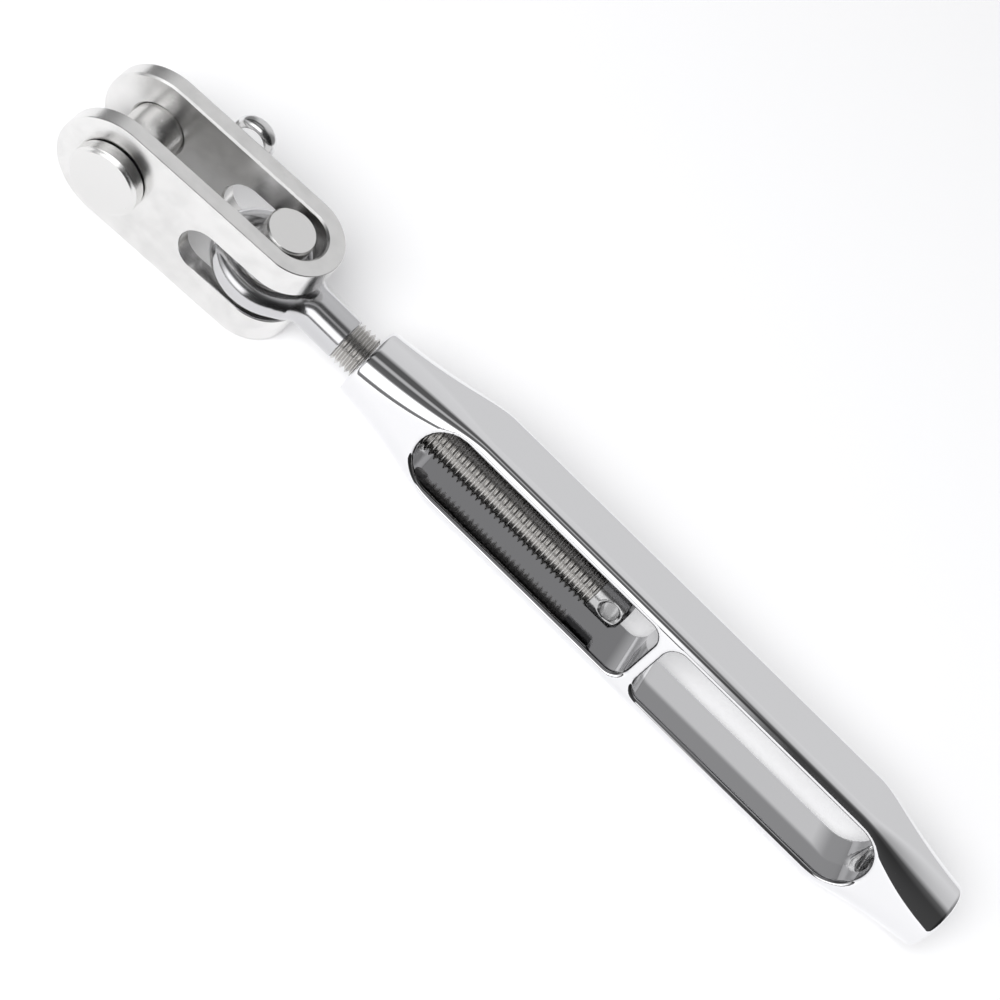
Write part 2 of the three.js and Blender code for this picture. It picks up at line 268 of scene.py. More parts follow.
def paint_shade_inside(material, piece, painted_shade, shade_tone):
    """Darkens a polished material's colour towards a dark tone by a piece's own attribute: painted shade."""
    piece.data.attributes.new("painted_shade", "FLOAT", "POINT").data.foreach_set("value", painted_shade)
    nodes, links = material.node_tree.nodes, material.node_tree.links
    shader = nodes["Principled BSDF"]
    reach = nodes.new("ShaderNodeAttribute")
    reach.attribute_name = "painted_shade"
    shade = nodes.new("ShaderNodeMix")
    shade.data_type = "RGBA"
    shade.inputs["A"].default_value = shader.inputs["Base Color"].default_value
    shade.inputs["B"].default_value = (*shade_tone, 1)
    links.new(reach.outputs["Fac"], shade.inputs["Factor"])
    links.new(shade.outputs["Result"], shader.inputs["Base Color"])


body_low, body_high = (np.array(c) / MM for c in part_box("turnbuckle_body"))
body_skin = skin_of(body_distance, body_low - 1.0, body_high + 1.0, BODY_STEP)
body = new_piece("forged_body", *body_skin)
mirror_polish = polished_steel("mirror_polish", (0.87, 0.87, 0.88), 0.03, 0.05, 0.05)
# Painted shade: the mirror polish's colour is darkened on the window walls and round the lower bore.
paint_shade_inside(mirror_polish, body, window_painted_shade(body_skin[0]), WINDOW_SHADE_TONE)
body.data.materials.append(mirror_polish)
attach(body, "turnbuckle")
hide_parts("turnbuckle_body")


# ---- Threads in the body's bores ----
# Both bores are tapped with the same fine thread, eased at the mouths, and break out into the windows' ends.
# They stay as cut, so they are duller than the polished skin. The stud's bore clears the stud's crests.
PITCH = 25.4 / 24
THREAD_CREST = 3.969
THREAD_ROOT = 3.30
CLEAR_CREST = 4.22
CLEAR_ROOT = 4.04
SLEEVE = 4.45
SLEEVE_INSET = 0.35
MOUTH_EASE = 0.25
INNER_EASE = 0.1


def thread_radius(x, turn, crest, root):
    """Radius of a screw thread: a triangle wave along the axis with its crests and roots cut flat, shifted
    by one pitch for each turn."""
    phase = (x / PITCH - turn / (2 * np.pi)) % 1.0
    wave = np.clip(1.3 * (1 - 2 * np.abs(2 * phase - 1)), -1, 1)
    return (crest + root) / 2 + (crest - root) / 2 * wave


def tube_grid(rings):
    """Quads between successive rings of points, closed round each ring."""
    count, around = rings.shape[:2]
    k, j = np.meshgrid(np.arange(count - 1), np.arange(around), indexing="ij")
    nxt = (j + 1) % around
    corners = [k * around + j, k * around + nxt, (k + 1) * around + nxt, (k + 1) * around + j]
    quads = np.stack(corners, axis=-1)
    return rings.reshape(-1, 3), quads.reshape(-1, 4)


def on_axis(x, radius, turn):
    """Points at a distance x along the screw's axis, at a radius and an angle of turn."""
    return np.stack(np.broadcast_arrays(x, radius * np.cos(turn), radius * np.sin(turn)), axis=-1)


def tapped_sleeve(name, mouth, window_end, outward, crest, root):
    """A threaded lining of a bore: one end is eased at the mouth and the other follows the window's end."""
    turn = np.linspace(0, 2 * np.pi, 72, endpoint=False)[None, :]
    z = -EMPTY_BORE * np.cos(turn) * np.sin(BODY_ROLL) + EMPTY_BORE * np.sin(turn) * np.cos(BODY_ROLL)
    reach = WINDOW_HALF_WIDTH - np.sqrt(WINDOW_HALF_WIDTH ** 2 - z ** 2)
    inner_end = window_end + outward * (SLEEVE_INSET - reach)
    steps = int(16 * abs(mouth - window_end) / PITCH)
    share = np.linspace(0, 1, steps)[:, None]
    x = mouth + (inner_end - mouth) * share
    ease = np.maximum(np.maximum(crest, THREAD_CREST + MOUTH_EASE) - np.abs(x - mouth), 0)
    ease_inner = np.maximum(np.maximum(crest, THREAD_CREST + INNER_EASE) - np.abs(x - inner_end), 0)
    inner = np.maximum(thread_radius(x, turn, crest, root), np.maximum(ease, ease_inner))
    lining = on_axis(x, inner, turn)
    wall = on_axis(x[[-1, 0]], np.full((2, 1), SLEEVE), turn)
    rings = np.concatenate([lining, wall, lining[:1]])
    points, quads = tube_grid(rings[:-1])
    around = turn.shape[1]
    last = (len(rings) - 2) * around
    j = np.arange(around)
    closing = np.stack([last + j, last + (j + 1) % around, (j + 1) % around, j], axis=1)
    quads = np.concatenate([quads, closing])
    if outward < 0:
        quads = quads[:, ::-1]
    return new_piece(name, points, quads, sharp=50)


def cut_steel(name, tone, roughness, grain):
    """Machined stainless: a soft sheen with a fine uneven grain in its roughness and its surface."""
    material = bpy.data.materials.new(name)
    material.use_nodes = True
    nodes, links = material.node_tree.nodes, material.node_tree.links
    shader = nodes["Principled BSDF"]
    shader.inputs["Base Color"].default_value = (*tone, 1)
    shader.inputs["Metallic"].default_value = 1
    place = nodes.new("ShaderNodeTexCoord")
    speck = nodes.new("ShaderNodeTexNoise")
    speck.inputs["Scale"].default_value = 2600
    speck.inputs["Detail"].default_value = 4
    spread = nodes.new("ShaderNodeMapRange")
    spread.inputs["To Min"].default_value = roughness - 0.08
    spread.inputs["To Max"].default_value = roughness + 0.08
    bump = nodes.new("ShaderNodeBump")
    bump.inputs["Strength"].default_value = grain
    bump.inputs["Distance"].default_value = 0.00003
    links.new(place.outputs["Object"], speck.inputs["Vector"])
    links.new(speck.outputs["Fac"], spread.inputs["Value"])
    links.new(spread.outputs["Result"], shader.inputs["Roughness"])
    links.new(speck.outputs["Fac"], bump.inputs["Height"])
    links.new(bump.outputs["Normal"], shader.inputs["Normal"])
    return material


thread_steel = cut_steel("thread_steel", (0.74, 0.74, 0.74), 0.28, 0.4)
for name, mouth, window_end, outward, crest, root in (
    ("stud_bore_thread", -BODY_LENGTH + MOUTH_EASE, UPPER_WINDOW[0], -1, CLEAR_CREST, CLEAR_ROOT),
    ("empty_bore_thread", -MOUTH_EASE, LOWER_WINDOW[1], 1, THREAD_CREST, THREAD_ROOT),
):
    sleeve = tapped_sleeve(name, mouth, window_end, outward, crest, root)
    sleeve.data.materials.append(thread_steel)
    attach(sleeve, "turnbuckle")


# ---- Eye bolt: forged eye and shank ----
# The upper end of the eye bolt is a forged ring that runs through hollow shoulders into a plain round shank.
# It is polished with the rest of the forging, but less brightly than the body.
EYE_X = -152.2
EYE_RING = 7.12
EYE_WIRE = 2.65
SHANK_RADIUS = 3.9
NECK_FILLET = 4.0
SHANK_END = -134.5
NECK_START = 6.2
NECK_SWELL = 5.6
NECK_THINNING = 0.15
EYE_BLEND = 1.3
EYE_STEP = 0.3


def eye_distance(p):
    """Distance from a ring of round bar joined to a neck, an ellipse in section, that meets the shank."""
    x = p[..., 0] - EYE_X
    y, z = p[..., 1], p[..., 2]
    ring = np.hypot(np.hypot(x, y) - EYE_RING, z) - EYE_WIRE
    outer = EYE_RING + EYE_WIRE
    fillet_x = np.sqrt((outer + NECK_FILLET) ** 2 - (SHANK_RADIUS + NECK_FILLET) ** 2)
    touch_x = fillet_x * outer / (outer + NECK_FILLET)
    along = np.clip(x, touch_x, fillet_x)
    half_width = SHANK_RADIUS + NECK_FILLET - np.sqrt(NECK_FILLET ** 2 - (fillet_x - along) ** 2)
    t = np.clip((x - NECK_SWELL) / (fillet_x - NECK_SWELL), 0, 1)
    thin = EYE_WIRE - NECK_THINNING
    half_height = thin + (SHANK_RADIUS - thin) * t * t * (3 - 2 * t)
    neck = (np.hypot(y / half_width, z / half_height) - 1) * np.minimum(half_width, half_height)
    neck = rounded_cut(neck, NECK_START - x, 0.8)
    neck = rounded_cut(neck, x + EYE_X - SHANK_END, 0.25)
    return smooth_join(ring, neck, EYE_BLEND)


eye_low, eye_high = (EYE_X - 10.6, -10.6, -4.6), (SHANK_END + 0.6, 10.6, 4.6)
forged_eye = new_piece("forged_eye", *skin_of(eye_distance, eye_low, eye_high, EYE_STEP))
forged_eye.data.materials.append(polished_steel("polished_forging", (0.63, 0.63, 0.64), 0.14, 0.10, 0.12))
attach(forged_eye, "screw")
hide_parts("eye_bolt")


# ---- Eye bolt: threaded stud ----
# Below the shank the stud carries a long fine thread, rolled at 24 to the inch, that screws into the body.
# The crests are bright and the flanks keep a matt, faintly oily grey.
THREAD_END = -77.2
THREAD_CORE = 3.2
THREAD_LAP = 0.3


def capped_tube(rings, first_centre, last_centre):
    """A tube of rings closed by a fan of triangles to a point at each end."""
    points, quads = tube_grid(rings)
    around = rings.shape[1]
    j = np.arange(around)
    nxt = (j + 1) % around
    last = (len(rings) - 1) * around
    start = np.stack([nxt, j, np.full(around, len(points))], axis=1)
    end = np.stack([last + j, last + nxt, np.full(around, len(points) + 1)], axis=1)
    points = np.concatenate([points, [first_centre, last_centre]])
    return points, quads.tolist() + start.tolist() + end.tolist()


def threaded_rod(start, end, around=60, per_pitch=14):
    """The thread wave round a rod, faded down to the core at both ends."""
    x = np.linspace(start, end, int(per_pitch * (end - start) / PITCH))[:, None]
    turn = np.linspace(0, 2 * np.pi, around, endpoint=False)[None, :]
    fade = THREAD_CORE + 1.2 * np.minimum(x - start, end - x)
    radius = np.minimum(thread_radius(x, turn, THREAD_CREST, THREAD_ROOT), fade)
    return capped_tube(on_axis(x, radius, turn), (start, 0, 0), (end, 0, 0))


stud_thread = new_piece("stud_thread", *threaded_rod(SHANK_END - THREAD_LAP, THREAD_END + THREAD_LAP))
stud_thread.data.materials.append(cut_steel("rolled_thread", (0.62, 0.61, 0.595), 0.24, 0.2))
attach(stud_thread, "screw")
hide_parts("eye_bolt")


# ---- Eye bolt: plain tip with its locking hole ----
# The last few millimetres of the stud are turned plain and cross-drilled for a locking pin.
# The hole is countersunk on both sides, so that its rim shows as a bright oval.
TIP_RADIUS = 3.75
TIP_END = -70.9
TIP_CHAMFER = 0.8
LOCK_HOLE_X = -73.6
LOCK_HOLE = 1.6
LOCK_HOLE_TILT = np.radians(20.5)
CONE_RADIUS = 1.2
CONE_SLOPE = 1.22
CONE_BOTTOM = 2.85
TIP_STEP = 0.17


def tip_distance(p):
    """Distance from a short chamfered rod less a cross hole with a cone at each mouth."""
    x, y, z = p[..., 0], p[..., 1], p[..., 2]
    across = np.hypot(y, z)
    rod = rounded_cut(across - TIP_RADIUS, x - TIP_END, 0.1)
    rod = np.maximum(rod, (across - TIP_RADIUS + x - TIP_END + TIP_CHAMFER) / np.sqrt(2))
    rod = rounded_cut(rod, THREAD_END - x, 0.15)
    along = y * np.cos(LOCK_HOLE_TILT) - z * np.sin(LOCK_HOLE_TILT)
    beside = y * np.sin(LOCK_HOLE_TILT) + z * np.cos(LOCK_HOLE_TILT)
    from_hole = np.hypot(x - LOCK_HOLE_X, beside)
    cone = from_hole - CONE_RADIUS - CONE_SLOPE * (np.abs(along) - CONE_BOTTOM)
    cone = cone / np.hypot(1, CONE_SLOPE)
    return rounded_cut(rod, -np.minimum(from_hole - LOCK_HOLE, cone), 0.14)


tip_low, tip_high = (THREAD_END - 0.5, -4.3, -4.3), (TIP_END + 0.5, 4.3, 4.3)
stud_tip = new_piece("stud_tip", *skin_of(tip_distance, tip_low, tip_high, TIP_STEP))
stud_tip.data.materials.append(cut_steel("turned_tip", (0.55, 0.55, 0.55), 0.2, 0.25))
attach(stud_tip, "screw")
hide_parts("eye_bolt")


# ---- Strap jaw ----
# A flat stainless bar bent into a U round the eye, with rounded tips, a drilled hole in each tip and a slot
# round the bend that lets the eye through. Faces are satin-finished along the bar and every edge is eased.
PLATE = 3.175
HALF_GAP = 5.1
HALF_HEIGHT = 10.3
PIN_TO_EYE = 27.3
BEND_OFFSET = 0.8
SLOT_HALF_HEIGHT = 4.3
SLOT_START = -12.7
PIN_HOLE = 4.85
OUTER_EASE = 0.25
INNER_CHAMFER = 0.32
CHAMFER_LIP = 0.02
FACE_PACE = 0.9
FACE_ROWS = 13
FACE_INSET = 0.75
MID_BEND = HALF_GAP + PLATE / 2
BEND_RUN = np.pi * MID_BEND
BAR_BACK = 2 * BEND_OFFSET + BEND_RUN
pin_low, pin_high = (np.array(c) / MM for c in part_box("captive_pin"))
JAW_CENTRE = (pin_low + pin_high) / 2
clevis_axis = next(j["axis"] for j in frame["joints"] if j["name"] == "clevis_pin_turn")
JAW_SWING = np.arctan2(-clevis_axis[0], clevis_axis[1])


def on_jaw(p):
    """Points or directions drawn with the captive pin at x = 0, swung round it to where the jaw hangs."""
    c, s = np.cos(JAW_SWING), np.sin(JAW_SWING)
    return np.asarray(p) @ np.array([[c, s, 0], [-s, c, 0], [0, 0, 1]])


def plan_circle(centre, radius, count):
    """Points round a circle in the flat bar, with normals out of the metal that surrounds it."""
    a = np.linspace(0, 2 * np.pi, count, endpoint=False)
    way = np.stack([np.cos(a), np.sin(a)], axis=1)
    return np.array([centre, 0]) + radius * way, -way


def plan_stadium(low, high, radius, count, pace, sign):
    """Points round a bar with two half-round ends centred at low and high; sign 1 has the metal inside."""
    straight = np.arange(low + pace, high - pace / 2, pace)
    a = np.linspace(-np.pi / 2, np.pi / 2, count)
    end = np.stack([np.cos(a), np.sin(a)], 1)
    top = np.tile([0.0, 1.0], (len(straight), 1))
    way = np.concatenate([end, top, -end, -top])
    along = np.concatenate([np.full(count, high), straight[::-1], np.full(count, low), straight])
    return np.stack([along, np.zeros_like(along)], 1) + radius * way, sign * way


def bend_bar(along, height, out, way):
    """Carries the flat bar round the U: along runs from front to back, out is measured from the bar's
    middle, and way gives each normal as parts along, up and out. Returns points and normals."""
    turn = np.clip((along - BEND_OFFSET) / MID_BEND, 0, np.pi)
    before = np.minimum(along - BEND_OFFSET, 0)
    after = np.maximum(along - BEND_OFFSET - BEND_RUN, 0)
    radius = MID_BEND + out
    ahead = BEND_OFFSET + before - after + radius * np.sin(turn)
    forward = np.stack([np.cos(turn), np.sin(turn), 0 * turn], 1)
    outward = np.stack([np.sin(turn), -np.cos(turn), 0 * turn], 1)
    up = np.array([0.0, 0.0, 1.0])
    points = np.stack([ahead, -radius * np.cos(turn), height], 1)
    return points, way[:, :1] * forward + way[:, 1:2] * up + way[:, 2:] * outward


def bar_metal(q):
    """Distance in plan from the flat bar's metal, less than zero inside it."""
    middle = BAR_BACK / 2
    from_middle = q[:, 0] - middle
    bar = rounded_bar(from_middle, q[:, 1], middle + PIN_TO_EYE + HALF_HEIGHT, HALF_HEIGHT, HALF_HEIGHT)
    cut = rounded_bar(from_middle, q[:, 1], middle - SLOT_START, SLOT_HALF_HEIGHT, SLOT_HALF_HEIGHT)
    holes = np.hypot(np.abs(from_middle) - middle - PIN_TO_EYE, q[:, 1]) - PIN_HOLE
    return np.maximum(bar, -np.minimum(cut, holes))


def edge_profile():
    """The bar's edge from the outer face to the inner one: a quarter round, the side and a flat chamfer.
    Each station has an angle for its normal, an inset from the outline and a place through the thickness."""
    a = np.linspace(0, np.pi / 2, 5)
    rise = np.concatenate([a, np.radians([90, 135, 135, 180])])
    cut_in = [0, 0, INNER_CHAMFER, INNER_CHAMFER + CHAMFER_LIP]
    inset = np.concatenate([OUTER_EASE * (1 - np.sin(a)), cut_in])
    low_edge = INNER_CHAMFER - PLATE / 2
    inner = [low_edge + CHAMFER_LIP, low_edge, -PLATE / 2, -PLATE / 2]
    return rise, inset, np.concatenate([PLATE / 2 - OUTER_EASE * (1 - np.cos(a)), inner])


def fill_face(rim_plans, grid):
    """Triangles in plan over the metal between the rims, through a grid of points."""
    start = np.cumsum([0] + [len(r) for r in rim_plans])
    spans = zip(start, start[1:])
    edges = [(int(a + i), int(a + (i + 1) % (b - a))) for a, b in spans for i in range(b - a)]
    flat = np.concatenate([*rim_plans, grid])
    found = delaunay_2d_cdt([Vector(q) for q in flat], edges, [], 0, 1e-6)
    corners = np.array([list(t) for t in found[2]])
    place = np.array([list(v) for v in found[0]])
    corners = corners[bar_metal(place[corners].mean(1)) < -OUTER_EASE]
    lifted = place[corners]
    turned = np.cross(lifted[:, 1] - lifted[:, 0], lifted[:, 2] - lifted[:, 0]) < 0
    corners[turned] = corners[turned][:, ::-1]
    return corners


def strap_shell():
    """The bar's edge profile carried round each outline, and both faces filled in between the outlines."""
    slot = SLOT_START + SLOT_HALF_HEIGHT
    outlines = [
        plan_stadium(-PIN_TO_EYE, BAR_BACK + PIN_TO_EYE, HALF_HEIGHT, 56, 0.6, 1),
        plan_stadium(slot, BAR_BACK - slot, SLOT_HALF_HEIGHT, 36, 0.5, -1),
        plan_circle(-PIN_TO_EYE, PIN_HOLE, 80),
        plan_circle(BAR_BACK + PIN_TO_EYE, PIN_HOLE, 80),
    ]
    rise, inset, out = (v[:, None, None] for v in edge_profile())
    m = len(rise)
    points, ways, faces, rims, last_rims = [], [], [], [], []
    count = 0
    for plan, way in outlines:
        n = len(plan)
        flat = plan[None] - inset * way[None]
        points.append(np.concatenate([flat, np.broadcast_to(out, (m, n, 1))], 2).reshape(-1, 3))
        side = np.sin(rise) * way[None]
        ways.append(np.concatenate([side, np.broadcast_to(np.cos(rise), (m, n, 1))], 2).reshape(-1, 3))
        k, j = np.meshgrid(np.arange(m - 1), np.arange(n), indexing="ij")
        nxt = (j + 1) % n
        corners = [k * n + j, (k + 1) * n + j, (k + 1) * n + nxt, k * n + nxt]
        quads = count + np.stack(corners, -1).reshape(-1, 4)
        turns_left = np.sign(np.cross(plan[1] - plan[0], way[0]))
        faces += (quads if turns_left < 0 else quads[:, ::-1]).tolist()
        rims.append((count + np.arange(n), flat[0]))
        last_rims.append(count + (m - 1) * n + np.arange(n))
        count += m * n
    along = np.arange(-37, BAR_BACK + 37, FACE_PACE)
    across = np.linspace(-9.6, 9.6, FACE_ROWS)
    grid = np.stack(np.meshgrid(along, across, indexing="ij"), -1).reshape(-1, 2)
    grid = grid[bar_metal(grid) < -FACE_INSET]
    corners = fill_face([r[1] for r in rims], grid)
    n = len(grid)
    top = np.concatenate([r[0] for r in rims] + [count + np.arange(n)])
    bottom = np.concatenate(last_rims + [count + n + np.arange(n)])
    for level in (PLATE / 2, -PLATE / 2):
        points.append(np.concatenate([grid, np.full((n, 1), level)], 1))
        ways.append(np.tile([0, 0, np.sign(level)], (n, 1)))
    faces += top[corners].tolist() + bottom[corners][:, ::-1].tolist()
    points, ways = np.concatenate(points), np.concatenate(ways)
    placed, normals = bend_bar(points[:, 0], points[:, 1], points[:, 2], ways)
    return on_jaw(placed) + JAW_CENTRE, faces, on_jaw(normals)


def satin_steel(name, tone, roughness):
    """Satin stainless: fine scratches drawn out along the bar over faint clouds in tone and sheen."""
    material = bpy.data.materials.new(name)
    material.use_nodes = True
    nodes, links = material.node_tree.nodes, material.node_tree.links
    shader = nodes["Principled BSDF"]
    shader.inputs["Metallic"].default_value = 1
    place = nodes.new("ShaderNodeTexCoord")
    draw_out = nodes.new("ShaderNodeMapping")
    draw_out.inputs["Scale"].default_value = (0.06, 1, 1)
    scratches = nodes.new("ShaderNodeTexNoise")
    scratches.inputs["Scale"].default_value = 5200
    scratches.inputs["Detail"].default_value = 3
    clouds = nodes.new("ShaderNodeTexNoise")
    clouds.inputs["Scale"].default_value = 260
    clouds.inputs["Detail"].default_value = 5
    spread = nodes.new("ShaderNodeMapRange")
    spread.inputs["To Min"].default_value = roughness - 0.07
    spread.inputs["To Max"].default_value = roughness + 0.07
    shade = nodes.new("ShaderNodeValToRGB")
    shade.color_ramp.elements[0].position = 0.3
    shade.color_ramp.elements[0].color = (*(c * 0.9 for c in tone), 1)
    shade.color_ramp.elements[1].position = 0.6
    shade.color_ramp.elements[1].color = (*tone, 1)
    bump = nodes.new("ShaderNodeBump")
    bump.inputs["Strength"].default_value = 0.25
    bump.inputs["Distance"].default_value = 0.00002
    links.new(place.outputs["Object"], draw_out.inputs["Vector"])
    links.new(draw_out.outputs["Vector"], scratches.inputs["Vector"])
    links.new(place.outputs["Object"], clouds.inputs["Vector"])
    links.new(clouds.outputs["Fac"], shade.inputs["Fac"])
    links.new(shade.outputs["Color"], shader.inputs["Base Color"])
    links.new(clouds.outputs["Fac"], spread.inputs["Value"])
    links.new(spread.outputs["Result"], shader.inputs["Roughness"])
    links.new(scratches.outputs["Fac"], bump.inputs["Height"])
    links.new(bump.outputs["Normal"], shader.inputs["Normal"])
    return material


strap = new_piece("strap", *strap_shell())
strap.data.materials.append(satin_steel("satin_strap", (0.845, 0.84, 0.83), 0.24))
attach(strap, "jaw")
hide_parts("strap_jaw")


# ---- Captive pin ----
# A plain turned pin that lies across the bend, through the eye, and is held there by the slot's ends.
# Its faces carry the fine rings of the lathe tool and a small chamfer.
CAPTIVE_RADIUS = 4.365
CAPTIVE_HALF_LENGTH = 9.45
CAPTIVE_CHAMFER = 0.3


def lathe(profile, around=96):
    """A profile of place and radius turned about the axis; its first and last points are on the axis."""
    profile = np.asarray(profile, dtype=float)
    turn = np.linspace(0, 2 * np.pi, around, endpoint=False)[None, :]
    rings = on_axis(profile[1:-1, :1], profile[1:-1, 1:], turn)
    return capped_tube(rings, (profile[0, 0], 0, 0), (profile[-1, 0], 0, 0))


def turned_steel(name, tone, roughness, centre, rotation, spacing):
    """Turned stainless: fine rings about the piece's axis, in its surface and its sheen."""
    material = cut_steel(name, tone, roughness, 0.2)
    nodes, links = material.node_tree.nodes, material.node_tree.links
    place = nodes.new("ShaderNodeTexCoord")
    to_axis = nodes.new("ShaderNodeMapping")
    to_axis.vector_type = "TEXTURE"
    to_axis.inputs["Location"].default_value = centre
    to_axis.inputs["Rotation"].default_value = rotation
    rings = nodes.new("ShaderNodeTexWave")
    rings.wave_type = "RINGS"
    rings.rings_direction = "Z"
    rings.inputs["Scale"].default_value = 2 * np.pi / (20 * spacing)
    rings.inputs["Distortion"].default_value = 0.6
    rings.inputs["Detail Scale"].default_value = 3
    bump = nodes.new("ShaderNodeBump")
    bump.inputs["Strength"].default_value = 0.6
    bump.inputs["Distance"].default_value = 0.00002
    grain = next(n for n in nodes if n.type == "BUMP" and n != bump)
    links.new(place.outputs["Object"], to_axis.inputs["Vector"])
    links.new(to_axis.outputs["Vector"], rings.inputs["Vector"])
    links.new(rings.outputs["Fac"], bump.inputs["Height"])
    links.new(grain.outputs["Normal"], bump.inputs["Normal"])
    links.new(bump.outputs["Normal"], nodes["Principled BSDF"].inputs["Normal"])
    return material


points, faces = lathe([
    (-CAPTIVE_HALF_LENGTH, 0),
    (-CAPTIVE_HALF_LENGTH, CAPTIVE_RADIUS - CAPTIVE_CHAMFER),
    (-CAPTIVE_HALF_LENGTH + CAPTIVE_CHAMFER, CAPTIVE_RADIUS),
    (CAPTIVE_HALF_LENGTH - CAPTIVE_CHAMFER, CAPTIVE_RADIUS),
    (CAPTIVE_HALF_LENGTH, CAPTIVE_RADIUS - CAPTIVE_CHAMFER),
    (CAPTIVE_HALF_LENGTH, 0),
])
captive = new_piece("toggle_pin", points[:, [1, 2, 0]] + JAW_CENTRE, faces, sharp=30)
captive.data.materials.append(turned_steel(
    "turned_pin", (0.86, 0.855, 0.845), 0.24, tuple(JAW_CENTRE * MM), (0, 0, 0), 0.0009))
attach(captive, "toggle_pin")
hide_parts("captive_pin")


# ---- Clevis pin: head and shaft ----
# A turned pin with a broad flat head, pushed through both tips from the front.
# The head's face is faced off on the lathe and its edge has a wide chamfer.
PIN_RADIUS = 4.762
HEAD_RADIUS = 6.4
HEAD_HEIGHT = 2.6
HEAD_CHAMFER = 0.7
PIN_TAIL = 4.7
PIN_NOSE = 0.6
OUTER_FACE = HALF_GAP + PLATE
HEAD_UNDER = -OUTER_FACE - 0.3
SHAFT_END = OUTER_FACE - 0.1


def on_clevis(p):
    """Points drawn along X about the clevis pin's axis, turned to lie through the jaw's tips."""
    p = np.asarray(p)
    return on_jaw(np.stack([-p[..., 1] - PIN_TO_EYE, p[..., 0], p[..., 2]], axis=-1)) + JAW_CENTRE


points, faces = lathe([
    (HEAD_UNDER - HEAD_HEIGHT, 0),
    (HEAD_UNDER - HEAD_HEIGHT, HEAD_RADIUS - HEAD_CHAMFER),
    (HEAD_UNDER - HEAD_HEIGHT + HEAD_CHAMFER * 0.75, HEAD_RADIUS),
    (HEAD_UNDER - 0.15, HEAD_RADIUS),
    (HEAD_UNDER, HEAD_RADIUS - 0.15),
    (HEAD_UNDER, PIN_RADIUS),
    (SHAFT_END, PIN_RADIUS),
    (SHAFT_END, PIN_RADIUS - 0.4),
    (SHAFT_END + 0.3, PIN_RADIUS - 0.4),
    (SHAFT_END + 0.3, 0),
])
clevis = new_piece("clevis_head", on_clevis(points), faces, sharp=30)
head_centre = tuple(on_clevis(np.zeros(3)) * MM)
clevis.data.materials.append(turned_steel(
    "turned_head", (0.80, 0.795, 0.785), 0.24, head_centre, (np.pi / 2, 0, JAW_SWING), 0.0005))
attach(clevis, "clevis")
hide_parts("clevis_pin")


# ---- Clevis pin: drilled tail ----
# The pin's tail stands out behind the back plate, with a rounded nose and a cross hole for the cotter pin.
# The hole's rims are eased so that the cotter goes in without catching.
COTTER_HOLE = 1.66
COTTER_OUT = 2.25
COTTER_ANGLE = np.radians(33.0)
TAIL_END = OUTER_FACE + PIN_TAIL
COTTER_PLACE = OUTER_FACE + COTTER_OUT
TAIL_STEP = 0.21


def tail_distance(p):
    """Distance from a short rod along X with a rounded nose, less a hole across it at the cotter's angle."""
    rod = rounded_cut(np.hypot(p[..., 1], p[..., 2]) - PIN_RADIUS, p[..., 0] - TAIL_END, PIN_NOSE)
    rod = rounded_cut(rod, SHAFT_END - p[..., 0], 0.1)
    beside = p[..., 1] * np.sin(COTTER_ANGLE) + p[..., 2] * np.cos(COTTER_ANGLE)
    hole = np.hypot(p[..., 0] - COTTER_PLACE, beside) - COTTER_HOLE
    return rounded_cut(rod, -hole, 0.25)


tail_low, tail_high = (SHAFT_END - 0.5, -5.3, -5.3), (TAIL_END + 0.5, 5.3, 5.3)
points, faces, normals = skin_of(tail_distance, tail_low, tail_high, TAIL_STEP)
origin = on_clevis(np.zeros(3))
tail = new_piece("clevis_tail", on_clevis(points), faces, on_clevis(normals) - origin)
tail.data.materials.append(cut_steel("turned_tail", (0.84, 0.84, 0.83), 0.22, 0.3))
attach(tail, "clevis")
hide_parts("clevis_pin")


# ---- Cotter pin ----
# Half-round stainless wire folded on itself: two flat sides together through the pin, an eye left outside,
# and the two legs, one longer than the other, opened a little beyond it.
COTTER_WIRE = 1.5
COTTER_HALF_GAP = 0.08
COTTER_EYE = 2.45
COTTER_NECK = 2.0
COTTER_EYE_OUT = 15.0
COTTER_LEGS = (25.5, 23.5)
COTTER_SPREAD = np.radians(9.0)
COTTER_CLEAR = 0.8
COTTER_BEND = 0.6


def cotter_side(side, leg):
    """The flat side of one leg from its tip to the eye: a spread leg, a straight run and the neck's arc."""
    back = np.sqrt((COTTER_EYE + COTTER_NECK) ** 2 - (COTTER_HALF_GAP + COTTER_NECK) ** 2)
    a = np.linspace(0, np.arctan2(back, COTTER_HALF_GAP + COTTER_NECK), 12)
    bend = COTTER_EYE_OUT + PIN_RADIUS + COTTER_CLEAR
    ease = np.linspace(0, 1, 6)
    leg_along = [-leg, -leg + 0.2]
    leg_across = [COTTER_HALF_GAP + (-bend - v) * np.tan(COTTER_SPREAD) for v in leg_along]
    turn_along = -bend - COTTER_BEND + 2 * COTTER_BEND * ease
    turn_across = COTTER_HALF_GAP + COTTER_BEND * np.tan(COTTER_SPREAD) * (1 - ease) ** 2
    along = np.concatenate([leg_along, turn_along, -back + COTTER_NECK * np.sin(a)])
    across = np.concatenate([leg_across, turn_across, COTTER_HALF_GAP + COTTER_NECK * (1 - np.cos(a))])
    direction = np.concatenate([[-COTTER_SPREAD] * 2, -COTTER_SPREAD * (1 - ease), a])
    return np.stack([along, side * across, side * direction], axis=1)


def cotter_path():
    """Leg, neck, eye, neck, leg: each station is a place along and across the pin and a heading."""
    first, second = cotter_side(-1, COTTER_LEGS[0]), cotter_side(1, COTTER_LEGS[1])
    neck = -first[-1, 2]
    a = -neck + np.linspace(0, 2 * neck + np.pi, 60)[1:-1]
    eye = np.stack([COTTER_EYE * np.sin(a), -COTTER_EYE * np.cos(a), a], axis=1)
    second = second[::-1] + np.array([0, 0, np.pi])
    return np.concatenate([first, eye, second])


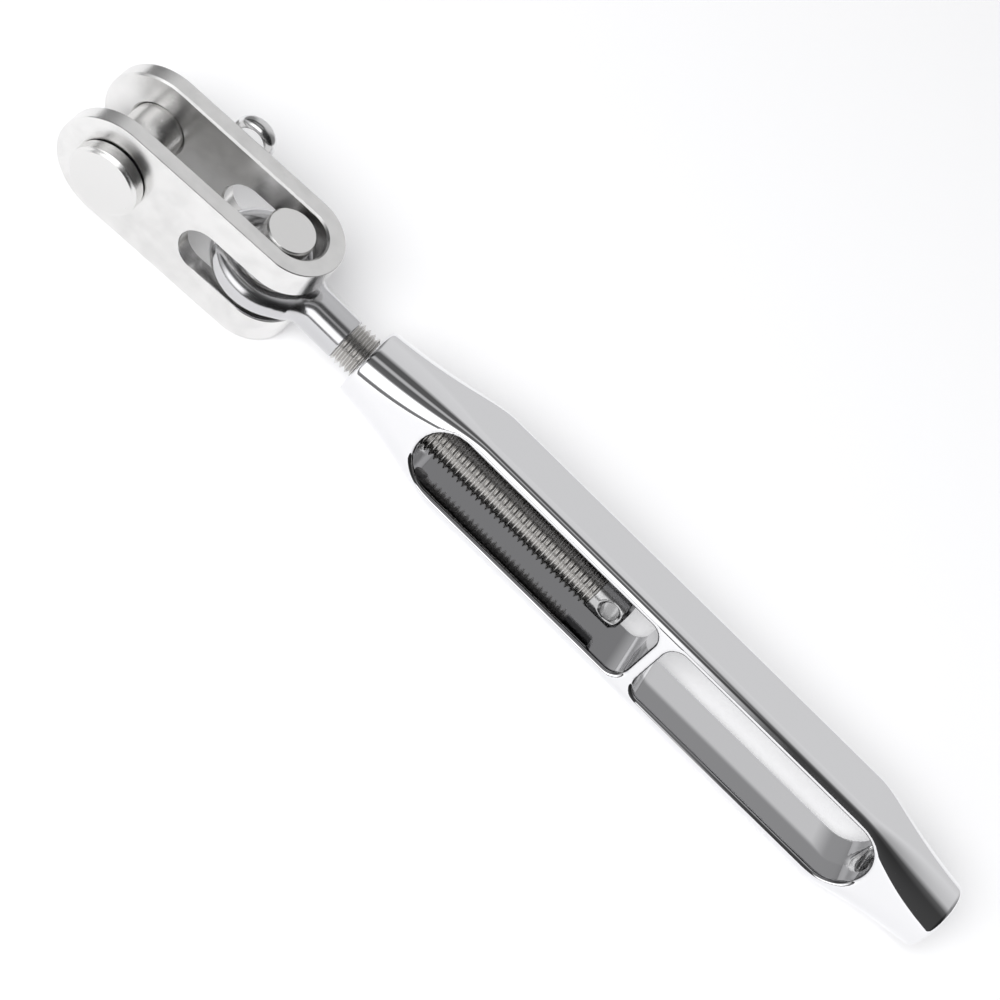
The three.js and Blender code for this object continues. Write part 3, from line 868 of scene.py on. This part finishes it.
def cotter_wire():
    """A half-round section with eased corners carried along the path, its flat side inwards."""
    path = cotter_path()
    a = np.linspace(0, np.pi, 15)
    wide = np.concatenate([[-1 + 0.12], -np.cos(a[1:-1]), [1 - 0.12], [0.5, 0, -0.5]]) * COTTER_WIRE
    out = np.concatenate([[0.05], np.sin(a[1:-1]), [0.05], [0, 0, 0]]) * COTTER_WIRE
    along = COTTER_EYE_OUT + path[:, :1] + out * np.sin(path[:, 2:])
    across = path[:, 1:2] - out * np.cos(path[:, 2:])
    rings = np.stack(np.broadcast_arrays(along, wide[None, :], across), axis=-1)
    return capped_tube(rings, rings[0].mean(0), rings[-1].mean(0))


points, faces = cotter_wire()
c, s = np.cos(COTTER_ANGLE), np.sin(COTTER_ANGLE)
tilt = np.array([[c, 0, s], [0, 1, 0], [-s, 0, c]])
points = on_jaw(points @ tilt + np.array([-PIN_TO_EYE, COTTER_PLACE, 0])) + JAW_CENTRE
cotter = new_piece("cotter_wire", points, faces, sharp=40)
cotter.data.materials.append(polished_steel("drawn_wire", (0.80, 0.80, 0.80), 0.16, 0.1, 0.2))
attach(cotter, "cotter")
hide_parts("cotter_pin")


# ---- Floor ----
# A wide pale table top just under the strap's lower edge, which the turnbuckle is set down on.
low, high = (np.array(c) for c in cad_box)
floor_mesh = bpy.data.meshes.new("table_top")
reach = 3.0
floor_z = low[2] - 0.0002
floor_mesh.from_pydata([(low[0] + i, low[1] + j, floor_z) for i, j in (
    (-reach, -reach), (reach, -reach), (reach, reach), (-reach, reach))], [], [(0, 1, 2, 3)])
floor = bpy.data.objects.new("table_top", floor_mesh)
bpy.context.scene.collection.objects.link(floor)
paper = bpy.data.materials.new("white_paper")
paper.use_nodes = True
sheet = paper.node_tree.nodes["Principled BSDF"]
sheet.inputs["Base Color"].default_value = (0.9, 0.9, 0.91, 1)
sheet.inputs["Roughness"].default_value = 0.9
sheet.inputs["Specular IOR Level"].default_value = 0.0
sheet.inputs["Emission Color"].default_value = (1, 1, 1, 1)
sheet.inputs["Emission Strength"].default_value = 0.17
floor.data.materials.append(paper)


# ---- Studio light ----
# A pale room with one long soft light in front and above, and dark gaps either side of it, as round a small
# product table. A round soft lamp lights the table top and isn't mirrored in the polish.
world = bpy.data.worlds.new("studio")
bpy.context.scene.world = world
world.use_nodes = True
nodes, links = world.node_tree.nodes, world.node_tree.links
way = nodes.new("ShaderNodeTexCoord")
parts = nodes.new("ShaderNodeSeparateXYZ")
links.new(way.outputs["Generated"], parts.inputs["Vector"])
front = nodes.new("ShaderNodeMath")
front.operation = "MULTIPLY"
front.inputs[1].default_value = -1
links.new(parts.outputs["Y"], front.inputs[0])
angle = nodes.new("ShaderNodeMath")
angle.operation = "ARCTAN2"
links.new(parts.outputs["Z"], angle.inputs[0])
links.new(front.outputs["Value"], angle.inputs[1])
share = nodes.new("ShaderNodeMapRange")
share.inputs["From Min"].default_value = -np.pi
share.inputs["From Max"].default_value = np.pi
links.new(angle.outputs["Value"], share.inputs["Value"])


def room(name, bands):
    """A ramp of grey round the turnbuckle's length, by angle (0 in front, 90 overhead) and brightness."""
    ramp = nodes.new("ShaderNodeValToRGB")
    ramp.name = name
    while len(ramp.color_ramp.elements) < len(bands):
        ramp.color_ramp.elements.new(0.5)
    for element, (degrees, level) in zip(ramp.color_ramp.elements, bands):
        element.position = (degrees + 180) / 360
        element.color = (level, level, level * 1.01, 1)
    links.new(share.outputs["Result"], ramp.inputs["Fac"])
    return ramp


lit_side = room("lit side", [
    (-180, 0.58), (0, 0.20), (9, 0.20), (13, 1.7), (40, 1.7), (47, 0.14), (62, 0.10), (67, 0.5),
    (71, 0.5), (76, 0.10), (90, 0.10), (102, 0.68), (150, 0.72), (180, 0.64)])
dark_side = room("dark side", [
    (-180, 0.58), (0, 0.06), (60, 0.05), (78, 0.12), (96, 0.60), (150, 0.72), (180, 0.64)])
side = nodes.new("ShaderNodeMapRange")
side.interpolation_type = "SMOOTHSTEP"
side.inputs["From Min"].default_value = 0.10
side.inputs["From Max"].default_value = 0.20
links.new(parts.outputs["X"], side.inputs["Value"])
both = nodes.new("ShaderNodeMix")
both.data_type = "RGBA"
links.new(side.outputs["Result"], both.inputs["Factor"])
links.new(lit_side.outputs["Color"], both.inputs["A"])
links.new(dark_side.outputs["Color"], both.inputs["B"])
endways = nodes.new("ShaderNodeMath")
endways.operation = "ABSOLUTE"
links.new(parts.outputs["X"], endways.inputs[0])
dim = nodes.new("ShaderNodeMapRange")
dim.interpolation_type = "SMOOTHSTEP"
dim.inputs["From Min"].default_value = 0.40
dim.inputs["From Max"].default_value = 0.80
dim.inputs["To Min"].default_value = 1.0
dim.inputs["To Max"].default_value = 0.35
links.new(endways.outputs["Value"], dim.inputs["Value"])
dimmed = nodes.new("ShaderNodeMix")
dimmed.data_type = "RGBA"
dimmed.blend_type = "MULTIPLY"
dimmed.inputs["Factor"].default_value = 1.0
links.new(both.outputs["Result"], dimmed.inputs["A"])
links.new(dim.outputs["Result"], dimmed.inputs["B"])
sight = nodes.new("ShaderNodeLightPath")
seen = nodes.new("ShaderNodeMix")
seen.data_type = "RGBA"
seen.inputs["B"].default_value = (1, 1, 1, 1)
links.new(sight.outputs["Is Camera Ray"], seen.inputs["Factor"])
links.new(dimmed.outputs["Result"], seen.inputs["A"])
links.new(seen.outputs["Result"], nodes["Background"].inputs["Color"])

lamp_data = bpy.data.lights.new("soft_front", "AREA")
lamp_data.shape = "DISK"
lamp_data.size = 0.7
lamp_data.energy = 11.5
lamp = bpy.data.objects.new("soft_front", lamp_data)
bpy.context.scene.collection.objects.link(lamp)
centre = Vector((low + high) / 2)
lamp.location = centre + Vector((-0.25, -0.75, 0.85))
lamp.rotation_euler = (centre - lamp.location).to_track_quat("-Z", "Y").to_euler()
lamp.visible_glossy = False


# ---- Camera ----
# Above and in front of the turnbuckle, rolled so that the length runs from top left to bottom right.
view_right = Vector((0.7134, 0.5111, 0.4795))
view_up = Vector((-0.6989, 0.5695, 0.4328))
view_back = view_right.cross(view_up)
camera_data = bpy.data.cameras.new("camera")
camera_data.lens = 94.98
camera_data.sensor_width = 36
camera = bpy.data.objects.new("camera", camera_data)
bpy.context.scene.collection.objects.link(camera)
turn = Matrix((view_right, view_up, view_back)).transposed().to_4x4()
camera.matrix_world = Matrix.Translation(Vector((-0.12079, -0.27546, 0.32497))) @ turn
bpy.context.scene.camera = camera
bpy.context.scene.view_settings.view_transform = "Standard"
